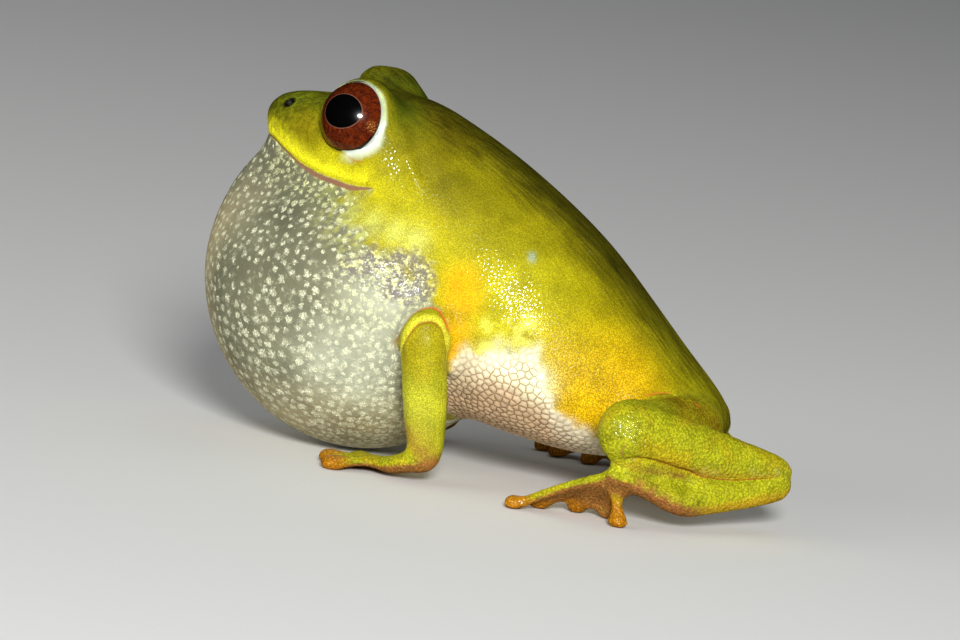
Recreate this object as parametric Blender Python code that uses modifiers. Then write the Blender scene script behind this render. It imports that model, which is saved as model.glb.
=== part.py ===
"""A small bush frog, calling: life-size still model, 27 mm from snout to vent.

The frog faces -X, its left side is -Y, and it stands on the floor at Z = 0. Everything is
made in millimetres, and brought to metres at the end.

Nearly every part is a ball drawn out along stations: head and trunk are one such form, cut
across at the neck, and each length of limb is another. Limbs are parted at each joint by a
plane halfway round the bend; elsewhere one part is cut back from its neighbour. A thin gap
stays between them. The frog doesn't sit quite evenly: its right arm and leg are a little
further forward, so each side has its own joints.
"""

import math

import bmesh
import bpy
from mathutils import Matrix, Vector

MM = 0.001  # one millimetre in metres
GAP = 0.15  # left between neighbouring parts
SHIFT_X = 0.6  # brings the middle of the whole frog's length to X = 0

# Colours, as the frog shows them: (red, green, blue), roughness
BACK_YELLOW = (0.62, 0.56, 0.02), 0.35
LIMB_YELLOW = (0.60, 0.58, 0.08), 0.4
SAC_GREY = (0.42, 0.43, 0.38), 0.3
EYE_BROWN = (0.16, 0.03, 0.01), 0.08
PAD_ORANGE = (0.72, 0.40, 0.10), 0.35
COLOURS = {
    "head": BACK_YELLOW,
    "trunk": BACK_YELLOW,
    "vocal": SAC_GREY,
    "eye": EYE_BROWN,
    "hand": PAD_ORANGE,
    "foot": PAD_ORANGE,
}  # by the first word of a part's name; all others are LIMB_YELLOW

# Head and trunk, from the snout to the vent. Each station is the back line (x, z), the belly
# line (x, z), half the width, and how far up the widest level lies (0 belly, 1 back).
SNOUT = ((-13.57, 15.46), (-13.57, 15.46), 0.0, 0.50)
HEAD_STATIONS = [
    ((-13.14, 16.34), (-13.32, 14.30), 1.30, 0.45),
    ((-12.17, 16.67), (-12.51, 13.66), 2.15, 0.42),
    ((-10.96, 16.85), (-11.24, 13.05), 3.00, 0.40),
    ((-9.45, 17.03), (-10.06, 12.60), 3.85, 0.38),
    ((-7.64, 17.25), (-8.98, 12.10), 4.60, 0.38),
    ((-5.84, 17.19), (-8.10, 11.27), 4.90, 0.42),
]
TRUNK_STATIONS = [
    ((-3.87, 16.41), (-7.56, 10.04), 4.95, 0.46),
    ((-1.33, 15.12), (-6.87, 7.41), 5.35, 0.48),
    ((1.35, 13.41), (-5.28, 4.84), 5.95, 0.48),
    ((3.82, 11.50), (-2.76, 2.92), 6.20, 0.47),
    ((6.12, 9.19), (0.51, 2.18), 5.90, 0.46),
    ((8.04, 7.21), (3.70, 1.79), 5.10, 0.46),
    ((9.57, 5.74), (6.71, 2.06), 3.80, 0.48),
    ((10.47, 4.60), (9.14, 2.75), 2.10, 0.50),
]
VENT = ((10.58, 3.64), (10.58, 3.64), 0.0, 0.50)
BODY_SEGMENTS, BODY_RINGS = 28, 42
BODY_SQUARENESS = 0.92  # below 1 the cross-sections are a little boxy
NECK_POINT, NECK_TILT = (-7.0, 14.0), 70.0  # where the head is parted, degrees above +X

# The vocal sac, blown up to a ball that hangs from the jaw to the toes
SAC_CENTRE = (-7.63, 0.0, 8.41)
SAC_RADII = (7.95, 6.75, 8.27)
SAC_TILT = 8.0
SAC_SEGMENTS, SAC_RINGS = 26, 18
# Towards its top the sac narrows to the width of the jaw: from and to these heights, which
# run from -1 at its bottom to 1 at its top
SQUEEZE_FROM, SQUEEZE_FULL = 0.1, 0.65

# Eyes: large, set high, looking outwards and a little forwards and up
EYE_CENTRE = (-8.34, 3.05, 16.02)
EYE_RADIUS = 1.85
EYE_FORWARD, EYE_UP = 25.0, 14.0
EYE_GAP = 0.08
LID_RADIUS = 2.08
LID_MARGIN = 0.72  # the lids end this far out from the eye's centre

# Limbs. Joints are (x, y, z) for a left limb; those of the right one are turned over. Each
# length of limb has girths, half-width and half-thickness, at even steps from joint to joint.
ARMS = {
    "left": {
        "shoulder": (-3.45, -3.4, 7.15),
        "elbow": (-3.16, -6.75, 6.98),
        "wrist": (-2.40, -6.30, 1.20),
        "palm": (-4.20, -5.70, 0.55),
    },
    "right": {
        "shoulder": (-3.60, -3.4, 7.00),
        "elbow": (-4.70, -7.10, 6.90),
        "wrist": (-4.30, -6.70, 1.20),
        "palm": (-6.10, -6.10, 0.55),
    },
}
UPPER_ARM_GIRTHS = [(1.50, 1.60), (1.40, 1.45), (1.20, 1.25)]
FOREARM_GIRTHS = [(1.05, 1.10), (1.05, 1.12), (1.00, 1.08), (0.90, 0.98), (0.72, 0.72)]
PALM_GIRTHS = [(0.75, 0.62), (0.90, 0.50), (0.80, 0.42)]
# Where each finger ends on the floor, forward and outward of the palm
FINGERS = {"first": (0.5, -2.0), "second": (1.9, -2.0), "third": (3.2, -0.9), "fourth": (2.8, 0.9)}
FINGER_RADIUS = 0.30
FINGER_PAD = (0.68, 0.66, 0.42)  # half the length, width and thickness

LEGS = {
    "left": {
        "hip": (9.30, -1.8, 3.90),
        "knee": (6.98, -9.20, 4.45),
        "heel": (13.70, -3.70, 2.98),
        "heel_below": (13.75, -3.55, 2.15),
        "ankle": (9.90, -7.40, 1.35),
        "toe_root": (7.10, -9.00, 2.35),
    },
    "right": {
        "hip": (9.00, -1.8, 3.70),
        "knee": (4.85, -9.20, 3.70),
        "heel": (10.40, -3.40, 2.15),
        "heel_below": (10.45, -3.20, 1.32),
        "ankle": (7.30, -7.40, 0.92),
        "toe_root": (4.90, -9.10, 1.50),
    },
}
THIGH_GIRTHS = [(1.50, 1.60), (1.45, 1.58), (1.30, 1.48), (1.15, 1.38)]
SHANK_GIRTHS = [(1.10, 1.38), (1.15, 1.44), (1.05, 1.22), (0.85, 0.92), (0.70, 0.60)]
TARSUS_GIRTHS = [(0.72, 0.64), (0.80, 0.78), (0.82, 0.78), (0.78, 0.70)]
SOLE_GIRTHS = [(0.76, 0.66), (0.80, 0.52), (0.66, 0.42)]
# Where each toe ends, forward and outward of the root of the toes
TOES = {
    "first": (0.9, -2.3),
    "second": (2.3, -2.3),
    "third": (3.8, -1.5),
    "fourth": (4.6, -0.1),
    "fifth": (-0.55, 0.5),
}
TOE_RADIUS = 0.29
TOE_PAD = (0.54, 0.52, 0.38)

ROOT_SPACING = 0.30  # between the roots of neighbouring fingers or toes
LIMB_SEGMENTS, LIMB_RINGS_PER_STATION = 12, 3
DIGIT_SEGMENTS, DIGIT_RINGS_PER_STATION = 8, 2
SLIVER = 0.005  # corners closer than this are made one
MELT_VOXEL, MELT_KEPT = 0.13, 0.18  # a hand or foot is melted into one skin, then thinned


def between(stations, t):
    """The stations' numbers at t, on a smooth curve through them; t counts stations."""
    i = min(int(t), len(stations) - 4)
    f = t - i
    a, b, c, d = stations[i : i + 4]
    return [
        0.5 * (2 * q + (r - p) * f + (2 * p - 5 * q + 4 * r - s) * f**2 + (3 * q - p - 3 * r + s) * f**3)
        for p, q, r, s in zip(a, b, c, d)
    ]


def new_object(name, mesh, collection):
    made = bpy.data.objects.new(name, mesh)
    collection.objects.link(made)
    return made


def drawn_ball(name, surface, segments, rings, collection):
    """A UV sphere whose every vertex is moved to surface(share from pole to pole, angle)."""
    bm = bmesh.new()
    bmesh.ops.create_uvsphere(bm, u_segments=segments, v_segments=rings, radius=1.0)
    for vert in bm.verts:
        share = math.acos(max(-1.0, min(1.0, vert.co.z))) / math.pi
        angle = math.atan2(vert.co.y, vert.co.x)
        vert.co = surface(share, angle)
    bmesh.ops.recalc_face_normals(bm, faces=bm.faces)
    mesh = bpy.data.meshes.new(name)
    bm.to_mesh(mesh)
    bm.free()
    return new_object(name, mesh, collection)


def flat_station(station):
    (back_x, back_z), (belly_x, belly_z), width, level = station
    return [back_x, back_z, belly_x, belly_z, width, level]


def body_form(name, collection):
    """Head and trunk in one: rings hang between the back line and the belly line."""
    rows = [flat_station(s) for s in [SNOUT, *HEAD_STATIONS, *TRUNK_STATIONS, VENT]]

    def beyond(row):
        """The row past a pole: the same one, turned over, so that the end closes round."""
        back_x, back_z, belly_x, belly_z, width, level = row
        return [belly_x, belly_z, back_x, back_z, -width, level]

    rows = [beyond(rows[1]), *rows, beyond(rows[-2])]

    def surface(share, angle):
        back_x, back_z, belly_x, belly_z, width, level = between(rows, share * (len(rows) - 3))
        rise = math.cos(angle)
        height = level + rise * ((1 - level) if rise > 0 else level)
        side = math.copysign(abs(math.sin(angle)) ** BODY_SQUARENESS, math.sin(angle))
        return Vector(
            (belly_x + height * (back_x - belly_x), side * width, belly_z + height * (back_z - belly_z))
        )

    return drawn_ball(name, surface, BODY_SEGMENTS, BODY_RINGS, collection)


def limb_form(name, stations, collection, segments=LIMB_SEGMENTS, step=LIMB_RINGS_PER_STATION):
    """A length of limb, round at both ends, with an oval section at each station."""
    points = [Vector(point) for point, _, _ in stations]
    first_end = points[0] + (points[0] - points[1]).normalized() * stations[0][1]
    last_end = points[-1] + (points[-1] - points[-2]).normalized() * stations[-1][1]
    rows = [[*point, wide, thick] for point, wide, thick in stations]
    rows = [
        [*points[0], -stations[0][1], -stations[0][2]],
        [*first_end, 0.0, 0.0],
        *rows,
        [*last_end, 0.0, 0.0],
        [*points[-1], -stations[-1][1], -stations[-1][2]],
    ]
    spans = len(rows) - 3
    length = points[-1] - points[0]
    # Thickness is measured upwards, or forwards on a limb that stands upright
    up = Vector((-1, 0, 0)) if abs(length.z) > 0.8 * length.length else Vector((0, 0, 1))

    def surface(share, angle):
        t = share * spans
        x, y, z, wide, thick = between(rows, t)
        behind = Vector(between(rows, max(0.0, t - 0.3))[:3])
        ahead = Vector(between(rows, min(spans, t + 0.3))[:3])
        along = (ahead - behind).normalized()
        across = along.cross(up).normalized()
        over = across.cross(along)
        return Vector((x, y, z)) + across * (math.cos(angle) * wide) + over * (math.sin(angle) * thick)

    return drawn_ball(name, surface, segments, step * spans, collection)


def limb_between(name, start, end, girths, collection):
    """A straight length of limb from joint to joint."""
    start, end = Vector(start), Vector(end)
    steps = len(girths) - 1
    stations = [(start.lerp(end, i / steps), *girth) for i, girth in enumerate(girths)]
    return limb_form(name, stations, collection)


def ball(name, centre, radii, collection, tilt=0.0, heading=0.0, segments=14, rings=10):
    """An egg of three half-sizes, leaned by tilt about Y and turned by heading about Z."""
    bm = bmesh.new()
    place = (
        Matrix.Translation(Vector(centre))
        @ Matrix.Rotation(math.radians(heading), 4, "Z")
        @ Matrix.Rotation(math.radians(-tilt), 4, "Y")
        @ Matrix.Diagonal((*radii, 1.0))
    )
    bmesh.ops.create_uvsphere(bm, u_segments=segments, v_segments=rings, radius=1.0, matrix=place)
    mesh = bpy.data.meshes.new(name)
    bm.to_mesh(mesh)
    bm.free()
    return new_object(name, mesh, collection)


def grown(source, by, collection):
    """A copy of a part that is larger by this much all round, to cut its neighbours with."""
    mesh = source.data.copy()
    bm = bmesh.new()
    bm.from_mesh(mesh)
    bmesh.ops.remove_doubles(bm, verts=bm.verts, dist=1e-4)
    bm.normal_update()
    moves = [(v, v.normal * by) for v in bm.verts]
    for vert, move in moves:
        vert.co += move
    bm.to_mesh(mesh)
    bm.free()
    return new_object(source.name + "_room", mesh, collection)


def apply_modifiers(target):
    graph = bpy.context.evaluated_depsgraph_get()
    result = bpy.data.meshes.new_from_object(target.evaluated_get(graph))
    target.modifiers.clear()
    target.data = result


def combine(target, others, operation):
    """Boolean modifiers for these others, applied one after another."""
    for other in others:
        modifier = target.modifiers.new("join", "BOOLEAN")
        modifier.operation = operation
        modifier.solver = "EXACT"
        modifier.object = other
        apply_modifiers(target)
    return target


def melt_together(target, others):
    """One closed skin round forms that overlap at a slant, where a Boolean would leave slivers."""
    bm = bmesh.new()
    for part in [target, *others]:
        bm.from_mesh(part.data)
    bm.to_mesh(target.data)
    bm.free()
    remesh = target.modifiers.new("melt", "REMESH")
    remesh.mode = "VOXEL"
    remesh.voxel_size = MELT_VOXEL
    thin = target.modifiers.new("thin", "DECIMATE")
    thin.ratio = MELT_KEPT
    apply_modifiers(target)
    for vert in target.data.vertices:
        if vert.co.z < MELT_VOXEL / 2:
            vert.co.z = 0.0


def tidy(part):
    """Closes up the slivers that the Booleans leave, and makes every face a triangle."""
    bm = bmesh.new()
    bm.from_mesh(part.data)
    bmesh.ops.remove_doubles(bm, verts=bm.verts, dist=SLIVER)
    bmesh.ops.dissolve_degenerate(bm, edges=bm.edges, dist=SLIVER)
    bmesh.ops.triangulate(bm, faces=bm.faces)
    bm.to_mesh(part.data)
    bm.free()


def keep_side(target, point, normal):
    """Cuts a part off flat, keeping what lies on the side that normal points to."""
    bm = bmesh.new()
    bm.from_mesh(target.data)
    cut = bmesh.ops.bisect_plane(
        bm,
        geom=[*bm.verts, *bm.edges, *bm.faces],
        plane_co=point,
        plane_no=normal,
        clear_inner=True,
    )
    rim = [g for g in cut["geom_cut"] if isinstance(g, bmesh.types.BMEdge)]
    bmesh.ops.holes_fill(bm, edges=rim, sides=0)
    bmesh.ops.triangulate(bm, faces=[f for f in bm.faces if len(f.verts) > 4])
    bmesh.ops.recalc_face_normals(bm, faces=bm.faces)
    bm.to_mesh(target.data)
    bm.free()


def part_at_plane(near, far, point, normal):
    """Parts two lengths along one plane, half the gap on each side."""
    normal = Vector(normal).normalized()
    half = normal * GAP / 2
    keep_side(near, Vector(point) - half, -normal)
    keep_side(far, Vector(point) + half, normal)


def part_at_joint(near, far, before, joint, after):
    """Parts two lengths of limb at the plane halfway round the bend between them."""
    back = (Vector(before) - Vector(joint)).normalized()
    onward = (Vector(after) - Vector(joint)).normalized()
    part_at_plane(near, far, joint, onward - back)


def digit(name, root, reach, radius, pad, helpers):
    """A finger or toe that comes down from its root to a round pad on the floor."""
    ahead = Vector((-reach[0], -reach[1], 0.0))
    foot = Vector((root.x, root.y, 0.0))
    pad_length, pad_width, pad_thick = pad
    rest = pad_thick * 0.72
    stations = [
        (root, radius * 1.1, radius * 1.05),
        (foot + ahead * 0.5 + Vector((0, 0, 0.5 * root.z + 0.24)), radius, radius * 0.95),
        (foot + ahead * 0.9 + Vector((0, 0, rest + 0.1)), radius * 1.05, radius * 0.9),
    ]
    bone = limb_form(name, stations, helpers, DIGIT_SEGMENTS, DIGIT_RINGS_PER_STATION)
    disc = ball(
        name + "_pad",
        foot + ahead + Vector((0, 0, rest)),
        pad,
        helpers,
        heading=math.degrees(math.atan2(ahead.y, ahead.x)),
        segments=12,
        rings=7,
    )
    for vert in disc.data.vertices:
        vert.co.z = max(0.0, vert.co.z)
    return [bone, disc]


def add_digits(foot, start, end, digits, radius, pad, helpers):
    """Joins the digits to a palm or sole, their roots side by side across its end."""
    along = (Vector(end) - Vector(start)).normalized()
    across = along.cross(Vector((0.0, 0.0, 1.0))).normalized()
    made = []
    for place, (which, reach) in enumerate(digits.items()):
        offset = (place - (len(digits) - 1) / 2) * ROOT_SPACING
        root = Vector(end) + across * offset + along * (0.02 * place - 0.15)
        made.extend(digit(f"{foot.name}_{which}", root, reach, radius, pad, helpers))
    melt_together(foot, made)


def arm(side, joints, body_room, collection, helpers):
    shoulder, elbow, wrist, palm = joints["shoulder"], joints["elbow"], joints["wrist"], joints["palm"]
    upper = limb_between("upper_arm_" + side, shoulder, elbow, UPPER_ARM_GIRTHS, collection)
    lower = limb_between("forearm_" + side, elbow, wrist, FOREARM_GIRTHS, collection)
    part_at_joint(upper, lower, shoulder, elbow, wrist)
    combine(upper, [body_room], "DIFFERENCE")
    hand = limb_between("hand_" + side, wrist, palm, PALM_GIRTHS, collection)
    part_at_joint(lower, hand, elbow, wrist, palm)
    add_digits(hand, wrist, palm, FINGERS, FINGER_RADIUS, FINGER_PAD, helpers)
    return [upper, lower, hand]


def leg(side, joints, body_room, collection, helpers):
    """Thigh out from the hip, shank back to the heel, and the foot out again under it."""
    hip, knee, heel = joints["hip"], joints["knee"], joints["heel"]
    below, ankle, root = joints["heel_below"], joints["ankle"], joints["toe_root"]
    thigh = limb_between("thigh_" + side, hip, knee, THIGH_GIRTHS, collection)
    shank = limb_between("shank_" + side, knee, heel, SHANK_GIRTHS, collection)
    tarsus = limb_between("tarsus_" + side, below, ankle, TARSUS_GIRTHS, collection)
    part_at_joint(thigh, shank, hip, knee, heel)
    part_at_joint(shank, tarsus, knee, Vector(heel).lerp(Vector(below), 0.5), ankle)
    combine(thigh, [body_room], "DIFFERENCE")
    foot = limb_between("foot_" + side, ankle, root, SOLE_GIRTHS, collection)
    part_at_joint(tarsus, foot, below, ankle, root)
    add_digits(foot, ankle, root, TOES, TOE_RADIUS, TOE_PAD, helpers)
    return [thigh, shank, tarsus, foot]


def turn_over(part):
    """Makes a left part into a right one, or the other way round."""
    bm = bmesh.new()
    bm.from_mesh(part.data)
    bmesh.ops.scale(bm, vec=(1.0, -1.0, 1.0), verts=bm.verts)
    bmesh.ops.reverse_faces(bm, faces=bm.faces)
    bm.to_mesh(part.data)
    bm.free()
    return part


def turned_copy(part, name, collection):
    return turn_over(new_object(name, part.data.copy(), collection))


def material(name, colour, roughness):
    made = bpy.data.materials.new(name)
    made.use_nodes = True
    shader = made.node_tree.nodes["Principled BSDF"]
    shader.inputs["Base Color"].default_value = (*colour, 1.0)
    shader.inputs["Roughness"].default_value = roughness
    shader.inputs["Metallic"].default_value = 0.0
    return made


def eye_axis():
    forward, up = math.radians(EYE_FORWARD), math.radians(EYE_UP)
    return Vector((-math.sin(forward) * math.cos(up), -math.cos(forward) * math.cos(up), math.sin(up)))


def vocal_sac(collection):
    """An egg, leaned back a little, that is squeezed narrow towards its top and its front."""
    lean = Matrix.Rotation(math.radians(-SAC_TILT), 3, "Y")

    def surface(share, angle):
        ring, height = math.sin(math.pi * share), math.cos(math.pi * share)
        climb = max(0.0, min(1.0, (height - SQUEEZE_FROM) / (SQUEEZE_FULL - SQUEEZE_FROM)))
        front = (1 - math.cos(angle)) / 2
        squeeze = climb * climb * (3 - 2 * climb) * (0.25 * front + 0.42 * front**2)
        spot = Vector((ring * math.cos(angle), ring * math.sin(angle) * (1 - squeeze), height))
        return Vector(SAC_CENTRE) + lean @ (Vector([a * r for a, r in zip(spot, SAC_RADII)]))

    return drawn_ball("vocal_sac", surface, SAC_SEGMENTS, SAC_RINGS, collection)


def main():
    for old in list(bpy.data.objects):
        bpy.data.objects.remove(old)
    frog = bpy.data.collections.new("bush_frog")
    helpers = bpy.data.collections.new("helpers")
    for collection in (frog, helpers):
        bpy.context.scene.collection.children.link(collection)

    # Head, with a domed lid over each eye and a socket for the eyeball
    head = body_form("head", frog)
    trunk = body_form("trunk", frog)
    middle = Vector((EYE_CENTRE[0], -EYE_CENTRE[1], EYE_CENTRE[2]))
    eye = ball("eye_left", middle, [EYE_RADIUS] * 3, frog, segments=18, rings=12)
    lid = ball("lid", middle, [LID_RADIUS] * 3, helpers, segments=20, rings=12)
    keep_side(lid, middle + eye_axis() * LID_MARGIN, -eye_axis())
    socket = grown(eye, EYE_GAP, helpers)
    combine(head, [lid, turned_copy(lid, "lid_right", helpers)], "UNION")
    tilt = math.radians(NECK_TILT - 90.0)
    part_at_plane(head, trunk, (NECK_POINT[0], 0.0, NECK_POINT[1]), (math.cos(tilt), 0.0, math.sin(tilt)))
    combine(head, [socket, turned_copy(socket, "socket_right", helpers)], "DIFFERENCE")
    turned_copy(eye, "eye_right", frog)

    body_room = grown(body_form("body_whole", helpers), GAP, helpers)
    sac = vocal_sac(frog)
    combine(sac, [body_room], "DIFFERENCE")

    for side in ("left", "right"):
        upper, lower, hand = arm(side, ARMS[side], body_room, frog, helpers)
        limbs = [upper, lower, hand, *leg(side, LEGS[side], body_room, frog, helpers)]
        if side == "right":
            for part in limbs:
                turn_over(part)
        combine(sac, [grown(upper, GAP, helpers), grown(lower, GAP, helpers)], "DIFFERENCE")

    for part in frog.objects:
        tidy(part)
        colour, roughness = COLOURS.get(part.name.split("_")[0], LIMB_YELLOW)
        part.data.materials.clear()
        part.data.materials.append(material(part.name + "_skin", colour, roughness))
        part.data.shade_smooth()
        part.data.set_sharp_from_angle(angle=math.radians(50))
        part.data.transform(Matrix.Scale(MM, 4) @ Matrix.Translation((SHIFT_X, 0.0, 0.0)))
    for helper in helpers.objects:
        helper.hide_render = True
        helper.display_type = "WIRE"


main()
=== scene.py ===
import math

import bmesh
import bpy
import numpy as np
from mathutils import Matrix, Vector, noise
from mathutils.bvhtree import BVHTree


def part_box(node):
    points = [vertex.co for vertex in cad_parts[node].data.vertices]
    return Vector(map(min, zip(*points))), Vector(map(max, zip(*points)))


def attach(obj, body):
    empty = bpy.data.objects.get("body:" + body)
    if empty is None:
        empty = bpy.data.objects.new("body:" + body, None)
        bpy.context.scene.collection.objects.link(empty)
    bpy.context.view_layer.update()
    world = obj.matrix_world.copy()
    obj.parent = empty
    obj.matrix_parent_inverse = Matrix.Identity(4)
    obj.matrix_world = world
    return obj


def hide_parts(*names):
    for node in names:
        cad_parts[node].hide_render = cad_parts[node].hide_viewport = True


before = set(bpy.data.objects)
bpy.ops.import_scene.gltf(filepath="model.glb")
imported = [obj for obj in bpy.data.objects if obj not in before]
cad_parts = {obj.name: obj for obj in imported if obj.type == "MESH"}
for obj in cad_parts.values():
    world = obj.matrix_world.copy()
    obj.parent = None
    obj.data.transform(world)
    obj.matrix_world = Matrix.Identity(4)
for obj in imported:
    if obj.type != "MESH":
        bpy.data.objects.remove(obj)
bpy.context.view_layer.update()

# %% [markdown]
# # A small bush frog, calling
#
# The real frog is about 27 mm long, and this is a model of it at life size, as a museum would
# have one made. A museum would cast its skin in one piece from a carved master, set two glass
# eyes in it and paint it. This notebook goes the same way. The body's solids are melted into
# one skin, which is smoothed and carved. Then come the eyes, the paint, and a plain studio.
#
# Lengths are in millimetres while the skin is worked, and come to metres when it is done.

# %% Measures of the frame
MM = 1000.0  # millimetres in a metre
FLESH = sorted(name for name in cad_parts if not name.startswith("eye"))
SIDES = (-1, 1)  # left and right
EYES = (("eye_left", -1), ("eye_right", 1))


def node_box(name):
    """Lowest and highest corner of a solid, in millimetres."""
    low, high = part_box(name)
    return np.array(low) * MM, np.array(high) * MM


def on(name, x, y, z):
    """The point at these shares of a solid's box, in thousandths of its length, width, height."""
    low, high = node_box(name)
    return low + (high - low) * (np.array((x, y, z)) / 1000)


def places(runs):
    """The points that runs tell. A run is a solid's name, then (x, y, z) shares of its box."""
    return [on(name, *share) for name, *shares in runs for share in shares]


def both_sides(spots):
    """Left-hand spots, and the same spots across the body's middle."""
    return [spot * (1, -side, 1) for spot in spots for side in SIDES]


def lengths(vectors):
    return np.linalg.norm(vectors, axis=-1)


def put(name, data):
    """An object with this data, in the scene."""
    thing = bpy.data.objects.new(name, data)
    bpy.context.scene.collection.objects.link(thing)
    return thing


def mesh_of(name, bm):
    """The finished mesh of a bmesh."""
    mesh = bpy.data.meshes.new(name)
    bm.to_mesh(mesh)
    bm.free()
    return mesh


print("solids:", len(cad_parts), "flesh:", len(FLESH))

# %% [markdown]
# ## The master shape
#
# The head, trunk, throat sac and limbs meet at thin gaps, as the parts of a mould do. Each is
# swollen a little, so that it just closes its gaps, and all are fused into one skin. Taking the
# same swelling off again brings the outline back to the solids'.

# %% Fuse the solids into one skin
SWELL = 0.10  # closes the gaps between solids, which are 0.15 wide
SHARPEST = 1.8  # the most that a corner is swollen beyond its faces
VOXEL = 0.22  # the fused skin's mesh, which is halved later where there is fine carving
WELD = 0.002  # closer points of a solid are one point


def read(items, what, width, kind=float):
    """One property of all items, a row for each."""
    flat = np.empty(len(items) * width, kind)
    items.foreach_get(what, flat)
    return flat.reshape(-1, width)


def points_of(mesh):
    return read(mesh.vertices, "co", 3)


def normals_of(mesh):
    return read(mesh.vertex_normals, "vector", 3)


def edges_of(mesh):
    return read(mesh.edges, "vertices", 2, int)


def set_points(mesh, points):
    mesh.vertices.foreach_set("co", np.ascontiguousarray(points).ravel())
    mesh.update()


def welded(name):
    """A closed copy of a solid, in millimetres."""
    bm = bmesh.new()
    bm.from_mesh(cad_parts[name].data)
    bmesh.ops.scale(bm, vec=(MM, MM, MM), verts=bm.verts)
    bmesh.ops.remove_doubles(bm, verts=bm.verts, dist=WELD)
    bmesh.ops.recalc_face_normals(bm, faces=bm.faces)
    bm.normal_update()
    return bm


def fused(names):
    """One closed mesh round these solids."""
    points, faces = [], []
    for name in names:
        bm = welded(name)
        start = len(points)
        for vert in bm.verts:
            points.append(vert.co + vert.normal * SWELL * min(vert.calc_shell_factor(), SHARPEST))
        faces += [[start + vert.index for vert in face.verts] for face in bm.faces]
        bm.free()
    mesh = bpy.data.meshes.new("blank")
    mesh.from_pydata(points, [], faces)
    blank = put("blank", mesh)
    remesh = blank.modifiers.new("fuse", "REMESH")
    remesh.mode, remesh.voxel_size = "VOXEL", VOXEL
    shown = blank.evaluated_get(bpy.context.evaluated_depsgraph_get())
    whole = bpy.data.meshes.new_from_object(shown)
    bpy.data.objects.remove(blank)
    set_points(whole, points_of(whole) - normals_of(whole) * SWELL)
    return whole


skin = fused(FLESH)
print("fused skin:", len(skin.vertices), "points,", len(skin.polygons), "faces")

# %% Which solid each point belongs to
corners, faces, face_owner = [], [], []
for index, name in enumerate(FLESH):
    bm = welded(name)
    for face in bm.faces:
        faces.append(list(range(len(corners), len(corners) + len(face.verts))))
        corners += [vert.co.copy() for vert in face.verts]
        face_owner.append(index)
    bm.free()
solids_tree = BVHTree.FromPolygons(corners, faces)


def owner_of(points):
    """The index in FLESH of the nearest solid, for each point."""
    return np.array([face_owner[solids_tree.find_nearest(Vector(p))[2]] for p in points])


owner = owner_of(points_of(skin))
print({name: int((owner == i).sum()) for i, name in enumerate(FLESH)})

# %% [markdown]
# ## Smoothing
#
# The solids have flat facets about a millimetre across, and wet skin shows every one. Trunk, sac
# and head are rubbed down most, limbs less and the toes least. A rubbed-down form shrinks, so
# what it loses over a wide area is given back.

# %% Smooth the skin
RUB_BODY, RUB_LIMBS, RUB_DIGITS = 0.6, 0.35, 0.12  # share of the way to the neighbours' mean


def neighbour_mean(values, edges):
    """The mean of the neighbours' values, for each point."""
    a, b = edges.T
    count = np.bincount(a, minlength=len(values)) + np.bincount(b, minlength=len(values))
    total = [
        np.bincount(a, column[b], len(values)) + np.bincount(b, column[a], len(values))
        for column in values.reshape(len(values), -1).T
    ]
    return (np.array(total) / np.maximum(count, 1)).T.reshape(values.shape)


def spread(values, edges, times):
    """Values blurred over the skin."""
    for _ in range(times):
        values = 0.5 * values + 0.5 * neighbour_mean(values, edges)
    return values


def rub(points, edges, times, strength):
    """Points moved towards their neighbours' mean. strength is one share for each point."""
    for _ in range(times):
        points = points + (neighbour_mean(points, edges) - points) * strength[:, None]
    return points


def belongs(owner, *words):
    """1 for each point whose solid's name starts with one of the words, else 0."""
    return np.array([name.startswith(words) for name in FLESH])[owner].astype(float)


def eye_ball_of(name):
    """Middle and radius of an eye, in millimetres."""
    low, high = node_box(name)
    return (low + high) / 2, (high - low)[2] / 2


def smooth_skin(mesh, owner):
    edges = edges_of(mesh)
    start, normal = points_of(mesh), normals_of(mesh)
    body = belongs(owner, "head", "trunk", "vocal")
    digits = belongs(owner, "hand", "foot")
    limbs = 1 - body - digits
    strength = spread(body * RUB_BODY + limbs * RUB_LIMBS + digits * RUB_DIGITS, edges, 3)
    for name, side in EYES:  # the thin lids keep their shape
        away = lengths(start - eye_ball_of(name)[0])
        strength *= np.clip((away - 2.3) / 1.2, 0.05, 1)
    points = rub(start, edges, 14, strength)
    points = rub(points, edges, 50, strength * body)
    lost = spread(((start - points) * normal).sum(1), edges, 60)
    set_points(mesh, points + normal * lost[:, None])


smooth_skin(skin, owner)
print("smoothed:", points_of(skin).min(0).round(2), points_of(skin).max(0).round(2))

# %% [markdown]
# ## Lines of the carving
#
# Folds, lips and creases follow lines that are drawn once and laid on the skin. A line's points
# are shares of the solids' boxes, so they move with the solids. They are drawn on the left side,
# and the right side takes the same shares, counted from its own outside.

# %% Draw the lines


def ramp(values, low, high):
    """0 at low, 1 at high, smooth between. low may be the larger."""
    share = np.clip((values - low) / (high - low), 0, 1)
    return share * share * (3 - 2 * share)


def bump_at(values, middle, width):
    return np.exp(-(((values - middle) / width) ** 2))


def drawn(runs, side, tree, steps=8):
    """A smooth line on the skin through the points of runs, which are told as in places()."""
    if side > 0:
        runs = [
            (name.replace("_left", "_right"), *[(x, 1000 - y, z) for x, y, z in shares])
            for name, *shares in runs
        ]
    knots = [np.array(tree.find_nearest(Vector(spot))[0]) for spot in places(runs)]
    knots = [2 * knots[0] - knots[1], *knots, 2 * knots[-1] - knots[-2]]
    line = []
    for a, b, c, d in zip(knots, knots[1:], knots[2:], knots[3:]):
        square, cube = 2 * a - 5 * b + 4 * c - d, 3 * b - a - 3 * c + d
        for t in np.arange(steps) / steps:
            line.append(0.5 * (2 * b + (c - a) * t + square * t**2 + cube * t**3))
    line.append(knots[-2])
    return np.array([tree.find_nearest(Vector(p))[0] for p in line])


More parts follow.
